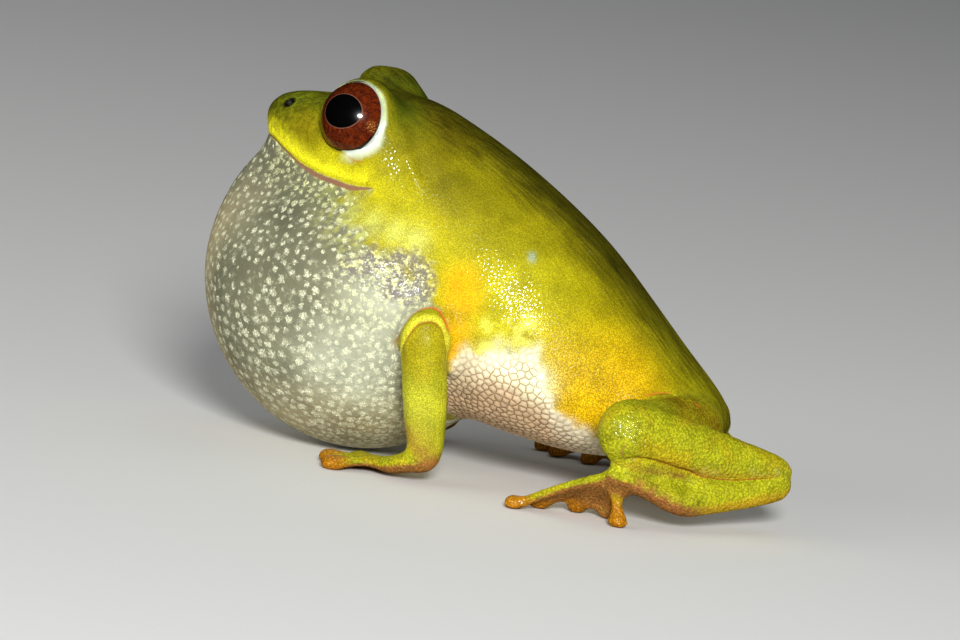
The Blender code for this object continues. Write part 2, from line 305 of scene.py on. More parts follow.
def beside(points, normals, line, side, reach):
    """How points lie by a line: indices within reach, offset across it, share along it.

    The offset is over 0 below a line that is drawn forwards on the left side.
    """
    near = np.where(
        (points > line.min(0) - reach).all(1) & (points < line.max(0) + reach).all(1)
    )[0]
    p, a, step = points[near, None], line[:-1], np.diff(line, axis=0)
    share = np.clip(((p - a) * step).sum(2) / (step * step).sum(1), 0, 1)
    away = p - (a + share[..., None] * step)
    length = lengths(away)
    best = length.argmin(1)
    rows = np.arange(len(near))
    keep = length[rows, best] < reach
    across = np.cross(normals[near], step[best])
    offset = np.sign((across * away[rows, best]).sum(1)) * length[rows, best] * -side
    pieces = lengths(step)
    run = np.concatenate([[0], np.cumsum(pieces)])
    along = (run[best] + share[rows, best] * pieces[best]) / run[-1]
    return near[keep], offset[keep], along[keep]


LINES = {
    "mouth": [
        ("head", (875, 10, 285), (731, 36, 285), (607, 84, 299), (470, 166, 315), (328, 234, 359),
         (209, 284, 410), (135, 317, 450), (75, 370, 478), (45, 435, 480)),
    ],
    "under_eye": [
        ("head", (414, 154, 531), (486, 115, 487), (578, 69, 449), (670, 34, 437), (744, 19, 441),
         (819, 13, 461)),
    ],
    "ear_fold": [
        ("head", (930, 80, 740)),
        ("trunk", (102, 192, 917), (121, 153, 867), (143, 130, 818), (165, 117, 779),
         (184, 98, 729)),
    ],
    "arm_outer": [
        ("upper_arm_left", (74, 514, 92), (77, 476, 297), (208, 172, 610), (329, 218, 841),
         (496, 333, 955), (679, 381, 946), (863, 307, 786), (942, 333, 495)),
    ],
    "arm_inner": [
        ("forearm_left", (104, 247, 763), (106, 197, 844), (193, 159, 930)),
        ("upper_arm_left", (488, 51, 672), (663, 68, 782), (812, 144, 731)),
        ("forearm_left", (822, 417, 931), (872, 416, 834)),
    ],
    "thigh_top": [
        ("trunk", (803, 137, 235), (830, 173, 246), (859, 209, 248)),
        ("thigh_left", (577, 674, 931), (704, 689, 888), (800, 700, 820)),
    ],
    "shin": [
        ("shank_left", (80, 110, 200), (136, 77, 218), (212, 105, 255), (317, 205, 209),
         (421, 331, 111)),
        ("tarsus_left", (221, 210, 1032), (428, 434, 949), (637, 597, 1006), (871, 765, 1084)),
    ],
    "knee": [
        ("shank_left", (133, 17, 462), (114, 31, 336), (114, 60, 242)),
    ],
}


def tree_of(mesh):
    faces = [tuple(face.vertices) for face in mesh.polygons]
    return BVHTree.FromPolygons([Vector(p) for p in points_of(mesh)], faces)


skin_tree = tree_of(skin)
lines = {
    (name, side): drawn(runs, side, skin_tree) for name, runs in LINES.items() for side in SIDES
}
for (name, side), line in lines.items():
    print(name, side, "length %.1f" % lengths(np.diff(line, axis=0)).sum())

# %% [markdown]
# ## Finer clay for face, fingers and toes
#
# A carver keeps the finest clay for the face and hands. The mesh is halved there, along the
# folds, and on the belly's grains, so that lids, lips, folds and pads come out as real relief.

# %% Halve the mesh where the carving is fine
# Where the belly's cream meets the flank's yellow: (x, z)
BELLY_EDGE = np.array([
    on("trunk", x, 0, z)[[0, 2]]
    for x, z in (
        (200, 300), (315, 290), (363, 308), (410, 312), (459, 341), (507, 361), (542, 337),
        (571, 257), (599, 183), (643, 135), (700, 85), (850, 60), (1000, 50),
    )
])


def below_belly_edge(points):
    """Height below the belly's edge, in millimetres; less than 0 on the yellow."""
    return np.interp(points[:, 0], *BELLY_EDGE.T) - points[:, 2]


def refine(mesh, wanted):
    """Halves the edges whose two ends are both wanted."""
    bm = bmesh.new()
    bm.from_mesh(mesh)
    bm.verts.ensure_lookup_table()
    edges = [e for e in bm.edges if wanted[e.verts[0].index] and wanted[e.verts[1].index]]
    bmesh.ops.subdivide_edges(bm, edges=edges, cuts=1, use_grid_fill=True)
    bm.to_mesh(mesh)
    bm.free()


def fine_places(mesh, owner):
    """True on face, fingers and toes, beside every line, and on the belly."""
    points, normal = points_of(mesh), normals_of(mesh)
    fine = belongs(owner, "head", "hand", "foot") > 0
    belly = (belongs(owner, "trunk") > 0) & (below_belly_edge(points) > 0)
    fine |= belly & (points[:, 0] > -2.2) & (points[:, 0] < 9)
    for (name, side), line in lines.items():
        fine[beside(points, normal, line, side, 0.45)[0]] = True
    return fine


refine(skin, fine_places(skin, owner))
owner = owner_of(points_of(skin))
edges = edges_of(skin)
fine = spread(belongs(owner, "head", "hand", "foot"), edges, 2)
set_points(skin, rub(points_of(skin), edges, 3, 0.3 * fine))
triangles = sum(len(face.vertices) - 2 for face in skin.polygons)
print("after refining:", len(skin.vertices), "points,", triangles, "triangles")

# %% [markdown]
# ## Eyes
#
# The eye looks outward, a little forward and a little up. On the real frog a clear cornea
# stands over a red-brown iris with a wide black pupil. A glass eye for a model is one ball,
# painted and glazed, and this is made so. Its face is mapped in millimetres from the line of
# sight.

# %% Make the eyeballs
EYE_FORWARD, EYE_UP = math.radians(25), math.radians(14)
CORNEA = 0.035  # how far the cornea stands out from the ball, in the ball's radius
OFF_MAP = (9, 9)  # where the back of the ball lies on the map


def sight(side):
    """The direction an eye looks in."""
    level = math.cos(EYE_UP)
    return np.array(
        (-level * math.sin(EYE_FORWARD), side * level * math.cos(EYE_FORWARD), math.sin(EYE_UP))
    )


def eye_frame(side):
    """Forward, upward and onward unit directions of an eye, square to each other."""
    onward = Vector(sight(side))
    forward = Vector((0, 0, 1)).cross(onward).normalized() * side
    upward = onward.cross(forward) * side
    return forward, upward, onward


def eyeball(name, side):
    middle, radius = eye_ball_of(name)
    bm = bmesh.new()
    bmesh.ops.create_uvsphere(bm, u_segments=64, v_segments=40, radius=radius)
    layer = bm.loops.layers.uv.new("iris")
    for vert in bm.verts:
        off_axis = math.degrees(math.acos(max(-1, min(1, vert.co.z / radius))))
        vert.co *= 1 + CORNEA * max(0, math.cos(math.radians(min(off_axis * 1.5, 90)))) ** 2
    for face in bm.faces:
        face.smooth = True
        for loop in face.loops:
            loop[layer].uv = loop.vert.co.xy if loop.vert.co.z > 0 else OFF_MAP
    turn = Matrix(eye_frame(side)).transposed().to_4x4()
    place = Matrix.Scale(1 / MM, 4) @ Matrix.Translation(Vector(middle)) @ turn
    bmesh.ops.transform(bm, matrix=place, verts=bm.verts)
    bmesh.ops.recalc_face_normals(bm, faces=bm.faces)
    ball = put(name + "_ball", mesh_of(name + "_ball", bm))
    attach(ball, "root")
    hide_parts(name)
    return ball


eyes = [eyeball(name, side) for name, side in EYES]
print("eyes:", {ball.name: len(ball.data.vertices) for ball in eyes})

# %% [markdown]
# ## Carving
#
# Lids, lips, nostrils and folds. Each is a small profile pushed along the skin's normal, across
# one of the lines. A carver would cut them with a fine loop and raise their edges with wax.

# %% Carve the lines
# a line's bumps: height, middle and width across it, and shares along it between which they are
# whole; the middle is over 0 below a line that is drawn forwards, and None is an end that stays
BUMPS = {
    "mouth": [
        (0.07, -0.26, 0.20, 0.04, 0.75), (-0.11, 0.02, 0.09, 0.04, None),
        (-0.04, 0.20, 0.14, 0.04, None),
    ],
    "under_eye": [(-0.035, 0, 0.12, 0.3, 0.8)],
    "ear_fold": [(0.10, 0, 0.28, 0.25, 0.75), (-0.07, 0.55, 0.30, 0.25, 0.75)],
    "arm_outer": [(-0.14, 0, 0.12, 0.15, 0.9), (0.05, 0.30, 0.16, 0.15, 0.9)],
    "arm_inner": [(-0.15, 0, 0.12, 0.2, 0.85), (0.06, -0.25, 0.14, 0.2, 0.85)],
    "thigh_top": [(-0.12, 0.05, 0.12, 0.2, 0.8), (0.07, -0.22, 0.16, 0.2, 0.8)],
    "shin": [
        (-0.16, 0, 0.10, 0.08, 0.96), (0.06, -0.4, 0.3, 0.08, 0.96), (0.06, 0.4, 0.3, 0.08, 0.96)
    ],
    "knee": [(-0.06, 0, 0.09, 0.3, None)],
}
REACH = 2.6  # how far from a line its carving and colours may go


def soft_normals(mesh):
    """Normals that vary smoothly, for deciding which side of a line a point is on."""
    soft = spread(normals_of(mesh), edges_of(mesh), 8)
    return soft / np.maximum(lengths(soft), 1e-6)[:, None]


soft = soft_normals(skin)
points = points_of(skin)
by_line = {key: beside(points, soft, line, key[1], REACH) for key, line in lines.items()}
depth = np.zeros(len(points))
for (name, side), (near, offset, along) in by_line.items():
    for height, middle, width, start, end in BUMPS[name]:
        bump = height * bump_at(offset, middle, width) * ramp(along, 0, start)
        depth[near] += bump * ramp(along, 1, end) if end else bump
set_points(skin, points + soft * depth[:, None])
print("carved: from %.2f to %.2f mm" % (depth.min(), depth.max()))

# %% Nostrils
NOSTRIL = (178, 350, 730)
FLAT = (1, 1, 0.65)  # makes the pit taller than it is wide


def nostril_of(side):
    """Where the solid head has a nostril."""
    x, y, z = NOSTRIL
    return on("head", x, y if side < 0 else 1000 - y, z)


def pit(mesh, middle, radius, depth, rim):
    """A round pit with a raised rim."""
    points, normal = points_of(mesh), normals_of(mesh)
    away = lengths((points - middle) * FLAT) / radius
    move = rim * bump_at(away, 1.5, 0.6) - depth * bump_at(away, 0, 0.75)
    move[away > 4] = 0
    set_points(mesh, points + normal * move[:, None])


for side in SIDES:
    middle = np.array(skin_tree.find_nearest(Vector(nostril_of(side)))[0])
    pit(skin, middle, 0.21, 0.40, 0.02)
    print("nostril at", middle.round(2))

# %% Push the form where the solids are too plain
PUSHES = (  # share of the head's box, radius, move, sides
    ((20, 450, 500), 0.75, (0.13, 0, 0), SIDES),  # the upper lip's front
    ((620, 340, 930), 0.9, (-0.30, 0.10, 0.34), SIDES),  # the brow's dome
    ((740, 260, 970), 0.9, (-0.05, -0.05, 0.24), SIDES),
    # the right brow stands a little fuller in front and steeper behind than the left
    ((555, 275, 970), 0.8, (-0.05, 0, 0.33), (1,)),
    ((490, 300, 930), 0.5, (-0.10, 0, 0.16), (1,)),
    ((872, 150, 900), 0.75, (-0.06, 0, -0.16), (1,)),
    ((410, 500, 830), 0.55, (0, 0, -0.11), SIDES),  # the brow's dip before the eyes
    ((360, 200, 620), 0.8, (0.0, 0.10, 0), SIDES),  # the hollow before the eye
)


def push(mesh, share, radius, move, sides):
    """Moves the skin softly by a vector round a spot of the head's sides."""
    points = points_of(mesh)
    for side in sides:
        spot, way = on("head", *share) * (1, -side, 1), np.array(move) * (1, -side, 1)
        points = points + np.exp(-(((points - spot) ** 2).sum(1) / radius**2))[:, None] * way
    set_points(mesh, points)


for spot, radius, move, sides in PUSHES:
    push(skin, spot, radius, move, sides)
print("head pushed at", len(PUSHES), "spots")

# %% Round the lids
LID_RIM = 69.0  # degrees from the line of sight
LID_GAP, LID_ROLL = 0.03, 0.15  # the skin's least way from the ball, and the margin's height
BROW_RUBS = {-1: 60, 1: 6}  # the left lid's low front leaves a sharp brow, so it's rubbed more


def eye_angles(points, name, side):
    """Distance from an eye's middle, degrees off its sight, and degrees round it from forward."""
    forward, upward, onward = (np.array(d) for d in eye_frame(side))
    out = points - eye_ball_of(name)[0]
    away = np.maximum(lengths(out), 1e-9)
    angle = np.degrees(np.arccos(np.clip(out @ onward / away, -1, 1)))
    return out, away, angle, np.degrees(np.arctan2(out @ upward, out @ forward))


def fit_lid(points, name, side):
    """Brings the skin round an eye onto its ball."""
    radius = eye_ball_of(name)[1]
    out, away, angle, round_it = eye_angles(points, name, side)
    # nothing enters the ball, and the margin is a thin roll that rises from it
    close = away < radius + 1.2
    target = np.where(close, np.maximum(away, radius + LID_GAP), away)
    outer = close & (away > radius + LID_ROLL)
    roll = radius + LID_GAP + LID_ROLL * ramp(angle, LID_RIM - 4, LID_RIM + 5)
    held = ramp(angle, LID_RIM + 13, LID_RIM + 5) * ramp(away, radius + 0.6, radius + 0.4)
    target = np.where(outer, target + (roll - target) * held, target)
    # over the front of the eye the lid lies low on the ball, and on the right less so
    low_lid = radius + 0.05 + 0.012 * np.clip(angle - LID_RIM - 3, 0, 20)
    low_lid = low_lid + 0.045 * np.maximum(0, angle - LID_RIM - 23)
    above = ramp(round_it, 0, 30) * ramp(round_it, 140, 105)
    above *= ramp(angle, LID_RIM + 40, LID_RIM + 32) * (away < radius + 1.4)
    above *= 1 if side < 0 else 0.3
    target = target + (np.minimum(target, low_lid) - target) * above
    inner = close & ~outer & (angle < LID_RIM + 10)
    target = np.where(inner, radius + LID_GAP, target)
    return points + out * (target / away - 1)[:, None]


def round_brow(points, name, side, edges):
    """Rubs the brow, inwards from the lid, to a round dome."""
    radius = eye_ball_of(name)[1]
    out, away, angle, round_it = eye_angles(points, name, side)
    dome = ramp(angle, LID_RIM + 12, LID_RIM + 24) * ramp(away, radius + 2.4, radius + 1.8)
    dome *= ramp(round_it, 5, 30) * ramp(round_it, 175, 150)
    return rub(points, edges, BROW_RUBS[side], 0.6 * dome)


points = points_of(skin)
for name, side in EYES:
    points = round_brow(fit_lid(points, name, side), name, side, edges)
set_points(skin, points)
print("after carving: lowest %.3f" % points[:, 2].min())

# %% [markdown]
# ## Paint
#
# The ground colours are laid in broad, soft passes, as a model painter would airbrush them:
# olive along the back, lemon on lips and shoulders, gold behind the arms and on the flanks,
# cream below, grey on the sac. Some passes are painted light and shade: the back, neck and
# brows are darkened as painted shade, partly over their own olive-brown, and painted shade lies
# low on the belly, under the folds of arm and thigh, under the limbs and in the nostrils. The
# belly's white patch and a pale patch on the sac carry painted highlights, and the sac's front
# is paler with painted rim light. Each point of the skin keeps its ground colour. The fine marks,
# such as the skin's gold dots, the belly's grains and the sac's clusters of flecks, are made
# by the material, which also paints shade between the knobs of the limbs and a shadow line at
# the knee.

# %% Colours and ways to lay them
COLOURS = dict(  # shares of red, green and blue light
    leaf=(0.37, 0.32, 0.003), olive_and_shade=(0.068, 0.061, 0.002), bronze=(0.42, 0.40, 0.004),
    bark=(0.34, 0.25, 0.004), fern=(0.32, 0.42, 0.03), moss_and_shade=(0.16, 0.19, 0.005),
    nut_and_shade=(0.19, 0.165, 0.004), umber_and_shade=(0.11, 0.085, 0.002), drab_and_shade=(0.20, 0.18, 0.003),
    pine_and_shade=(0.045, 0.06, 0.002), lime=(0.56, 0.50, 0.012), lemon=(0.84, 0.78, 0.015),
    amber=(0.98, 0.52, 0.004), gold=(0.85, 0.50, 0.004), honey=(0.62, 0.42, 0.004),
    sky=(0.35, 0.50, 0.42), cream=(0.80, 0.70, 0.48), tan=(0.56, 0.36, 0.20),
    white_lime_and_highlight=(0.95, 0.97, 0.62), ivory_and_highlight=(0.90, 0.85, 0.58), butter=(0.92, 0.87, 0.13),
    straw=(0.43, 0.43, 0.010), ochre=(0.56, 0.38, 0.008), clay=(0.62, 0.36, 0.01),
    wheat=(0.74, 0.70, 0.20), bracken_arm_shade=(0.36, 0.29, 0.006), citron=(0.80, 0.78, 0.05),
    mustard=(0.42, 0.34, 0.006), hay=(0.62, 0.60, 0.05), willow=(0.32, 0.32, 0.006),
    chestnut_thigh_shade=(0.24, 0.15, 0.002), dirt=(0.03, 0.02, 0.004), rust=(0.36, 0.13, 0.035),
    copper=(0.66, 0.36, 0.015), primrose=(0.74, 0.76, 0.14), grey=(0.175, 0.172, 0.105),
    sage=(0.50, 0.52, 0.10), beige_and_rim_light=(0.56, 0.46, 0.25), ash_and_highlight=(0.58, 0.60, 0.44),
    slate=(0.12, 0.125, 0.075), mint=(0.46, 0.54, 0.26), pale=(0.66, 0.72, 0.60),
    shadow=(0.13, 0.13, 0.01), black_nostril_shade=(0.008, 0.007, 0.003), pad=(0.52, 0.20, 0.006),
    fleck=(0.94, 0.94, 0.66), green_fleck=(0.90, 0.92, 0.46),
)
points, normal = points_of(skin), normals_of(skin)
paint = np.tile(COLOURS["leaf"], (len(points), 1))


def cloud(size, seed):
    """Random values about 0 for all points, smooth over that many millimetres and rough below."""
    shift = Vector((seed, 0, 0))
    return np.array([noise.fractal(Vector(p) / size + shift, 0.8, 2.1, 5) for p in points])


def way_to(spots):
    """How far each point is from the nearest of these spots."""
    return np.min([lengths(points - spot) for spot in spots], axis=0)


def lay(colour, share):
    """Mixes a colour into the ground."""
    global paint
    paint = paint + (np.array(COLOURS[colour]) - paint) * np.clip(share, 0, 1)[:, None]


def dabs(colour, strength, radius, *runs, left_only=False):
    """Soft round touches of a colour on both sides. The runs are told as in places()."""
    spots = places(runs) if left_only else both_sides(places(runs))
    lay(colour, strength * np.exp(-((way_to(spots) / radius) ** 2)))


def lay_beside(line, colour, strength, formula):
    """Lays a colour by a formula of the offset u from a line and the share s along it."""
    for side in SIDES:
        near, offset, along = by_line[line, side]
        share = np.zeros(len(points))
        share[near] = formula(offset, along)
        lay(colour, strength * share)


print("colours:", len(COLOURS))

# %% Head and back
x, y, z = points.T
is_head, is_trunk = belongs(owner, "head"), belongs(owner, "trunk")
is_limb = spread(1 - belongs(owner, "head", "trunk", "vocal"), edges, 3)
for side in SIDES:  # the arm's own colour ends at the fold over it
    near, offset, along = by_line["arm_outer", side]
    is_limb[near] *= np.where(points[near, 2] > 5, ramp(offset, 0.10, -0.02), 1)


def ridge_of_back():
    """Points along the ridge, from over the snout to over the vent."""
    middle = (is_head + is_trunk > 0) & (np.abs(y) < 0.4)
    ridge = []
    for ahead in np.linspace(x.min() + 2.2, x.max() - 4, 28):
        strip = points[middle & (np.abs(x - ahead) < 0.4)]
        ridge.append(strip[strip[:, 2].argmax()])
    return ridge


from_ridge = way_to(ridge_of_back())
# the back is olive, much darker towards its ridge: partly its own colour, partly painted shade on
# the upturned back
lay("olive_and_shade", ramp(from_ridge, 4.8, 0.8) * 0.95 * (1 - 0.25 * ramp(x, 7, 11)))
dabs("bronze", 0.95, 2.3, ("trunk", (990, 300, 320), (930, 300, 450)))
dabs("bark", 0.7, 0.8, ("head", (360, 220, 630)))
dabs("fern", 0.5, 0.5, ("head", (220, 370, 760)))
dabs("moss_and_shade", 0.8, 1.5, ("head", (200, 400, 800), (450, 300, 800)))
# this moss dab is painted shade in the hollow behind the brows, where the neck begins; the one
# before it is the snout's own colour
dabs("moss_and_shade", 0.9, 1.3, ("head", (950, 250, 850)), ("trunk", (110, 250, 950)))
# neck, nape, upper flank and brows darkened: partly their own olive-brown, partly painted shade on
# surfaces that turn up away from the light
SHOULDER = ("trunk", (186, 168, 847), (138, 191, 899), (236, 140, 782))
dabs("nut_and_shade", 0.85, 1.1, SHOULDER)
dabs("umber_and_shade", 0.8, 1.2, ("trunk", (225, 291, 909), (173, 347, 957)))
FLANK = ("trunk", (386, 144, 702), (312, 160, 764), (473, 131, 627))
dabs("drab_and_shade", 0.7, 1.7, FLANK)
BROW = ("head", (916, 211, 843), (727, 308, 939), (820, 250, 950))
dabs("pine_and_shade", 0.85, 1.0, BROW)
dabs("lime", 0.6, 1.5, ("trunk", (282, 56, 597), (280, 50, 530)))
dabs("lemon", 0.4, 1.0, ("trunk", (100, 90, 740), (160, 80, 680)))
dabs("lemon", 0.35, 2.2, ("trunk", (467, 62, 500), (450, 30, 420)))
BEHIND_ARM = ("trunk", (328, 30, 500), (334, 18, 456), (326, 20, 363), (330, 20, 310))
dabs("amber", 1.0, 0.80, BEHIND_ARM)
GROIN = ("trunk", (650, 63, 160), (656, 46, 240), (747, 102, 267), (700, 80, 200))
dabs("gold", 0.95, 1.9, GROIN)
dabs("honey", 0.6, 1.8, ("trunk", (601, 28, 292), (691, 87, 335)))
SKY_MARK = ("trunk", (482, 119, 597), (482, 119, 608), (482, 119, 619))
dabs("sky", 0.9, 0.15, SKY_MARK, left_only=True)
lay_beside("mouth", "lemon", 0.9 * is_head,
           lambda u, s: ramp(u, -1.3, -0.2) * ramp(s, -0.2, 0.2))
print("ridge of the back: %d points within 1 mm" % (from_ridge < 1).sum())

# %% Belly
ragged = cloud(0.8, 3)
below = below_belly_edge(points)
belly = is_trunk * ramp(below + 0.75 * ragged, -0.12, 0.13) * ramp(x, -4.5, -3.0)
belly = spread(belly, edges, 2)
lay("cream", belly)
# painted shade: the cream belly turns tan towards its underside, less so towards the back
lay("tan", 0.8 * ramp(below, 0.3, 2.6) * belly * (1 - 0.9 * ramp(x, 3, 7)))
# the belly's white patch: pale skin with a painted highlight over it
dabs("white_lime_and_highlight", 0.9, 0.85, ("trunk", (483, 8, 277), (545, 20, 236)))
dabs("ivory_and_highlight", 0.7, 0.6, ("trunk", (425, 9, 291)))
butter = ramp(below + 0.5 * ragged, -2.0, -0.2) * (1 - belly) * is_trunk
butter *= ramp(x, -0.8, 0.2) * ramp(x, 3.4, 2.2)
lay("butter", 0.9 * butter * ramp(cloud(0.5, 17), -0.2, 0.3))
paint = paint * (1 + 0.16 * cloud(1.8, 7))[:, None]
print("belly points:", int((belly > 0.5).sum()))

# %% Arms and legs
lay("straw", is_limb)
paint = paint * (1 + 0.22 * is_limb * cloud(0.7, 9))[:, None]
lay("ochre", 0.5 * is_limb * ramp(cloud(1.6, 12), 0.0, 0.6))
# just over the shin's fold the skin is warm, and further along it has pale wrinkles
lay_beside("shin", "clay", 0.7 * is_limb,
           lambda u, s: bump_at(u, 0.15, 0.25) * ramp(s, 0.15, 0.3) * ramp(s, 0.6, 0.45))
lay_beside("shin", "wheat", 0.3 * is_limb * ramp(cloud(0.25, 15), -0.1, 0.4),
           lambda u, s: ramp(u, 0.05, 0.15) * ramp(u, 0.75, 0.3) * ramp(s, 0.4, 0.5))
# painted shade on the arm's top under the arch of its inner fold
lay_beside("arm_inner", "bracken_arm_shade", 0.8 * is_limb,
           lambda u, s: ramp(u, 0.05, -0.1) * ramp(u, -1.6, -0.3))
lay_beside("arm_inner", "citron", 0.9 * is_limb,
           lambda u, s: ramp(u, -0.02, 0.05) * ramp(u, 0.5, 0.3))
dabs("mustard", 0.6, 1.3, ("forearm_left", (450, 200, 850)))
dabs("hay", 0.6, 1.5, ("forearm_left", (450, 200, 400)))
dabs("willow", 0.7, 1.6, ("shank_left", (950, 600, 700), (750, 400, 900)))
# painted shade on the thigh's upper back, under the fold at its top
THIGH_SHADE = ("thigh_left", (611, 581, 902), (784, 680, 805), (926, 755, 616))
dabs("chestnut_thigh_shade", 0.85, 1.2, THIGH_SHADE)
SPECKS = (("tarsus_left", (212, 15, 334), (274, 62, 439)),
          ("shank_left", (173, 27, 560)))
dabs("dirt", 0.85, 0.11, *SPECKS, left_only=True)
# the undersides of the limbs: partly their own orange-brown, partly painted shade where they face
# down
sole_and_shade = ramp(normal[:, 2], 0.05, -0.45) * is_limb * ramp(z, 3.4, 2.2)
heel = ramp(x, 11.0, 12.5)
lay("rust", 0.9 * sole_and_shade * (1 - heel))
lay("copper", 0.7 * sole_and_shade * heel)
TOE = ("foot_left", (757, 178, 760), (824, 247, 660), (892, 335, 540), (957, 444, 430))
dabs("rust", 0.8, 0.38, TOE)
print("sole points:", int((sole_and_shade > 0.5).sum()))

# %% The throat sac, below the mouth and before the throat's edge
NECK = ("vocal_sac", (584, 110, 846), (664, 87, 826), (750, 82, 806), (822, 89, 789))
dabs("primrose", 0.75, 0.65, NECK)
MOUTH_FRONT, MOUTH_BACK = (-13.2, 14.35), (-5.2, 13.3)  # the edge beyond the line's two ends
MOUTH_EDGE = np.array(  # (x, z)
    sorted([MOUTH_FRONT, *[tuple(p[[0, 2]]) for p in lines["mouth", -1]], MOUTH_BACK])
)
THROAT_EDGE = np.array([  # (z, x)
    on("vocal_sac", x, 0, z)[[2, 0]]
    for x, z in (
        (985, -200), (985, 400), (965, 530), (943, 589), (917, 635), (876, 655), (811, 673),
        (755, 709), (687, 739), (632, 812), (572, 882), (600, 930), (640, 1200),
    )
])
below = np.interp(x, *MOUTH_EDGE.T) - z
before = np.interp(z, *THROAT_EDGE.T) - x
sac = ramp(below, -0.02, 0.10) * ramp(before + 1.3 * ragged, -0.7, 0.8) * (1 - is_limb)
sac *= np.where(is_trunk > 0, ramp(z, 6.8, 7.8), 1)
for side in SIDES:  # behind the arm the flank is gold right up to its fold
    near, offset, along = by_line["arm_outer", side]
    behind = ramp(along, 0.60, 0.70) * ramp(offset, -0.05, 0.05)
    sac[near] *= 1 - behind * ramp(points[near, 0], -2.2, -1.8)
lay("grey", sac)
mottles = ramp(before, 3.6, 0.4) * ramp(z, 8.6, 9.8) * ramp(cloud(0.30, 21), -0.15, 0.25)
lay("sage", 0.75 * mottles * sac)
# the sac is paler along its front and low down: partly its own colour, partly painted rim light
# where its thin skin lets light through at the edge
front_and_rim_light = ramp(np.abs(y), 4.2, 1.2) * ramp(-x, 8, 11) * ramp(z, 13.0, 8.5)
lay("beige_and_rim_light", sac * np.maximum(front_and_rim_light, 0.55 * ramp(z, 4.5, 1.0)))
# a pale patch low on the sac: partly cream flecks, partly a painted highlight
PALE_SAC_AND_HIGHLIGHT = ("vocal_sac", (758, 27, 582), (742, 43, 409), (700, 50, 300), (600, 20, 350))
dabs("ash_and_highlight", 0.68 * sac, 1.9, PALE_SAC_AND_HIGHLIGHT)
DARK_SAC = ("vocal_sac", (362, 230, 878), (335, 169, 794), (471, 164, 865))
dabs("slate", 0.6 * sac, 1.3, DARK_SAC)
print("sac points:", int((sac > 0.5).sum()))

# %% Lids and nostrils
LOWER_BACK = -142  # where the lid's pale crescent lies, in degrees round the eye from forward
lids, hollow = np.zeros(len(points)), np.zeros(len(points))
for name, side in EYES:
    radius = eye_ball_of(name)[1]
    out, away, angle, round_it = eye_angles(points, name, side)
    lower_back = bump_at((round_it - LOWER_BACK + 540) % 360 - 180, 0, 38)
    lower = ramp(-round_it, 20, 60)
    # the lid's colour ends at this angle off the sight, and this far from the eye's middle
    edge = LID_RIM + 3 - 2 * lower + 8 * lower_back
    thick = radius + 0.15 - 0.06 * lower + 0.22 * lower_back
    on_lid = ramp(away, thick + 0.12, thick) * ramp(angle, edge + 2.5, edge)
    on_lid *= np.maximum(ramp(round_it, 20, 60), ramp(lower_back, 0.1, 0.4))
    on_lid = spread(on_lid, edges, 2)
    lay("mint", on_lid)
    lay("pale", on_lid * ramp(lower_back, 0.15, 0.45))
    rim = bump_at(angle, edge + 4.5, 2.2) * ramp(away, thick + 0.3, thick + 0.15)
    lay("shadow", 0.65 * rim * np.maximum(lower_back, bump_at(round_it, -90, 40)))
    lids = np.maximum(lids, on_lid)
# painted shade: the nostrils' pits are painted black inside
for side in SIDES:
    away = lengths((points - nostril_of(side)) * FLAT)
    lay("black_nostril_shade", 1.3 * ramp(away, 0.37, 0.24))
    hollow = np.maximum(hollow, ramp(away, 0.40, 0.28))
print("lid points:", int((lids > 0.5).sum()), "in the nostrils:", int((hollow > 0.5).sum()))

# %% The pads of fingers and toes


def tips_of(hand, limb):
    """The ends of a hand's fingers or a foot's toes, found by the way along the skin."""
    mine = np.where(owner == FLESH.index(hand))[0]
    low, high = node_box(limb)
    reach = lengths(points - np.clip(points, low, high))
    way = np.full(len(points), 1e9)
    way[mine] = np.where(reach[mine] < 0.3, 0, 1e9)
    a, b = edges[np.isin(edges, mine).all(1)].T
    length = lengths(points[a] - points[b])
    for _ in range(150):
        np.minimum.at(way, a, way[b] + length)
        np.minimum.at(way, b, way[a] + length)
    way = np.where(way > 1e8, 0, way)
    tips = []
    for i in mine[way[mine] > 1.5]:
        near = mine[((points[mine] - points[i]) ** 2).sum(1) < 0.95**2]
        if way[i] >= way[near].max():
            tips.append(points[i])
    return tips


pads = []
for side in ("left", "right"):
    pads += tips_of("hand_" + side, "forearm_" + side)
    pads += tips_of("foot_" + side, "tarsus_" + side)
pad_share = ramp(way_to(pads), 1.7, 0.8) * belongs(owner, "hand", "foot")
lay("pad", 0.95 * pad_share)
print("pads:", len(pads), np.round(pads, 1).tolist())

# %% [markdown]
# ## Marks that follow their own places
#
# Clusters of flecks, grains and coloured creases need a place of their own on the skin, which
# the material reads. Each corner of a face is mapped by how it lies from its nearest cluster,
# its grain's border or its crease. A painter would set them by hand with a fine brush.

# %% Where the sac's clusters of flecks sit
random = np.random.default_rng(11)
LEAST_CHANCE = 0.08  # no cluster or grain starts where there is less sac or belly
LEAST_SHARE = 0.02  # a corner with less sac or belly than this needs no place on their maps


def scattered(chance, spacing):
    """Points picked in random order, each at least its own spacing from those before it."""
    picked = []
    kept = np.zeros((0, 3))
    for i in random.permutation(np.where(chance > LEAST_CHANCE)[0]):
        if len(kept) == 0 or ((kept - points[i]) ** 2).sum(1).min() > spacing[i] ** 2:
            picked.append(i)
            kept = np.vstack([kept, points[i]])
    return np.array(picked)


under = np.full(len(points), -9.0)  # how far a point is under the line of the mouth
for side in SIDES:
    near, offset, along = by_line["mouth", side]
    under[near] = offset
# nearer the throat and jaw the clusters crowd
crowd = np.maximum(1 - ramp(-x, 4.5, 9.0), ramp(under, 2.5, 0.5) * (under > 0))
spacing = 0.47 - 0.12 * crowd - 0.06 * ramp(z, 5, 0) - 0.05 * ramp(z, 7, 10)
clusters = scattered(sac, spacing)
print("clusters:", len(clusters))

